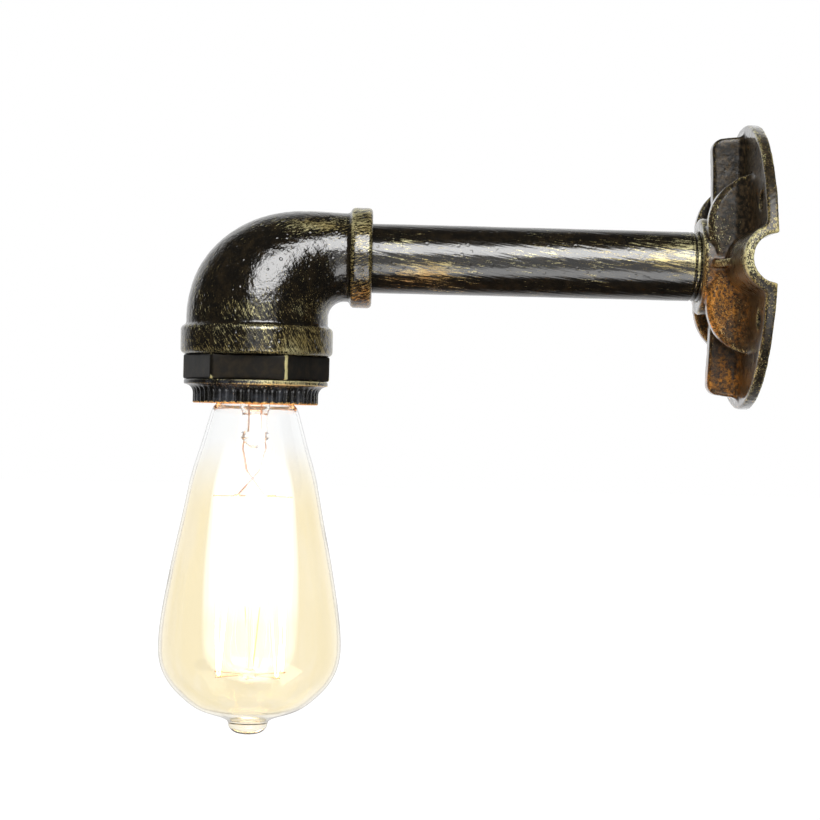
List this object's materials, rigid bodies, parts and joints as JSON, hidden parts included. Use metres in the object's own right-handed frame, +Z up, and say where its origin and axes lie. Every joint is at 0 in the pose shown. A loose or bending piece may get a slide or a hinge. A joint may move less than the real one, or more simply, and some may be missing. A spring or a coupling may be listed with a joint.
{
  "type": "pipe wall light",
  "caption": "Industrial wall light: a cast wall plate, a pipe arm and a reducing elbow that holds a fluted lampholder and a pear-shaped filament bulb pointing down.",
  "frame": {"origin": "centre of the wall plate's back face, in the plane of the wall, on the axis of the pipe arm", "axes": "+Z up, +Y into the wall (the arm reaches out along -Y), +X along the wall"},
  "size_m": [0.1, 0.2055, 0.2182],
  "materials": {
    "cast_plate": "gloss black-brown paint with brushed antique gold flecks over rough casting",
    "pipe_paint": "gloss black-brown paint with long brushed gold streaks",
    "cast_elbow": "gloss black-brown paint with gold flecks over casting pits",
    "hex_paint": "satin black-brown paint rubbed to gold on its edges",
    "ring_paint": "black-brown paint rubbed to copper and gold along the flutes",
    "ceramic": "glazed white ceramic",
    "brass": "satin, slightly tarnished",
    "plated_steel": "zinc plated",
    "bush_plastic": "natural nylon",
    "block_plastic": "milky polyethylene",
    "wire_brown": "smooth insulation",
    "wire_blue": "smooth insulation",
    "wire_green_yellow": "smooth green and yellow insulation",
    "amber_glass": "clear glass with a faint amber tint",
    "stem_glass": "clear glass",
    "cap_brass": "satin",
    "black_glass": "black glass insulator",
    "solder": "dull solder",
    "lead_wire": "drawn nickel wire",
    "filament": "glowing carbon-type filament"
  },
  "bodies": {
    "wall_base": {"wall_plate": "cast_plate"},
    "arm": {"arm_pipe": "pipe_paint", "pipe_bushes": "bush_plastic", "elbow": "cast_elbow", "lampholder_housing": "hex_paint", "insert_body": "ceramic", "screw_shell": "brass", "centre_contact": "brass", "neutral_contact": "brass", "live_post": "brass", "neutral_post": "brass", "earth_post": "brass", "post_screws": "plated_steel", "earth_strap": "plated_steel", "strap_screws": "plated_steel", "terminal_block": "block_plastic", "block_clamps": "brass", "block_screws": "plated_steel", "wire_live": "wire_brown", "wire_neutral": "wire_blue", "wire_earth": "wire_green_yellow"},
    "shade_ring": {"fluted_ring": "ring_paint"},
    "bulb": {"bulb_glass": "amber_glass", "bulb_cap": "cap_brass", "cap_insulator": "black_glass", "cap_contact": "solder", "bulb_stem": "stem_glass", "bulb_leads": "lead_wire", "filament_hooks": "lead_wire", "filament": "filament"}
  },
  "joints": [
    {"name": "arm_swivel", "type": "hinge", "parent": "wall_base", "child": "arm", "pos_m": [0, 0, 0], "axis": [0, -1, 0], "range_deg": [-90, 90]},
    {"name": "ring_unscrew", "type": "slide", "parent": "arm", "child": "shade_ring", "axis": [0, 0, -1], "range_m": [0, 0.004]},
    {"name": "bulb_unscrew", "type": "slide", "parent": "arm", "child": "bulb", "axis": [0, 0, -1], "range_m": [0, 0.03]}
  ]
}
